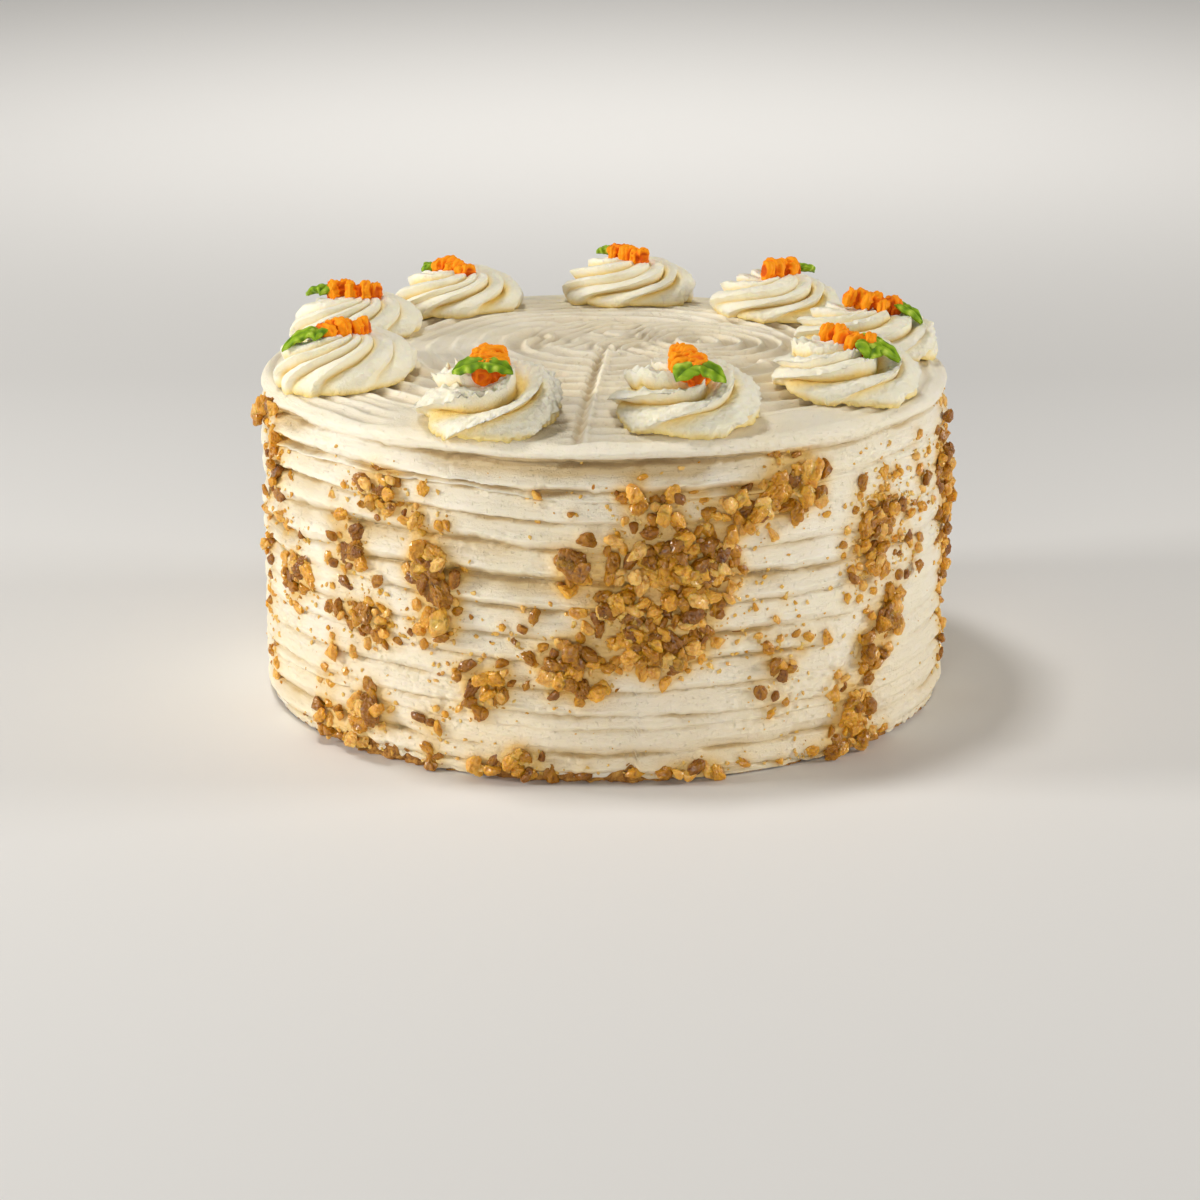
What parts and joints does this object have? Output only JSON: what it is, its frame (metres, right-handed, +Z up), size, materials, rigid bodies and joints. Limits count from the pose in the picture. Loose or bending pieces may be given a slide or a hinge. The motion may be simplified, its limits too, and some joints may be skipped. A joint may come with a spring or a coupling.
{
  "type": "carrot cake",
  "caption": "Whole round carrot cake in combed cream frosting, with walnut pieces on its side and piped rosettes topped by little icing carrots.",
  "frame": {"origin": "middle of the base, on the surface that the cake stands on", "axes": "+Z up through the cake's middle; -Y is the front, the side that faced the camera"},
  "size_m": [0.2163, 0.2206, 0.1248],
  "materials": {
    "frosting": "ivory cream frosting, satin and slightly moist, with comb marks and fine air pits",
    "walnut": "chopped golden brown walnut, dull with slightly oily edges",
    "sponge": "moist brown cake crumb, rough and open",
    "carrot_icing": "bright orange piped icing, slightly rough",
    "leaf_icing": "leaf green piped icing, slightly rough"
  },
  "bodies": {
    "root": {"sponge": "sponge", "frosting": "frosting", "rosette_1": "frosting", "rosette_2": "frosting", "rosette_3": "frosting", "rosette_4": "frosting", "rosette_5": "frosting", "rosette_6": "frosting", "rosette_7": "frosting", "rosette_8": "frosting", "rosette_9": "frosting", "carrot_1": "carrot_icing", "carrot_2": "carrot_icing", "carrot_3": "carrot_icing", "carrot_4": "carrot_icing", "carrot_5": "carrot_icing", "carrot_6": "carrot_icing", "carrot_7": "carrot_icing", "carrot_8": "carrot_icing", "carrot_9": "carrot_icing", "leaves_1": "leaf_icing", "leaves_2": "leaf_icing", "leaves_3": "leaf_icing", "leaves_4": "leaf_icing", "leaves_5": "leaf_icing", "leaves_6": "leaf_icing", "leaves_7": "leaf_icing", "leaves_8": "leaf_icing", "leaves_9": "leaf_icing"}
  },
  "joints": []
}
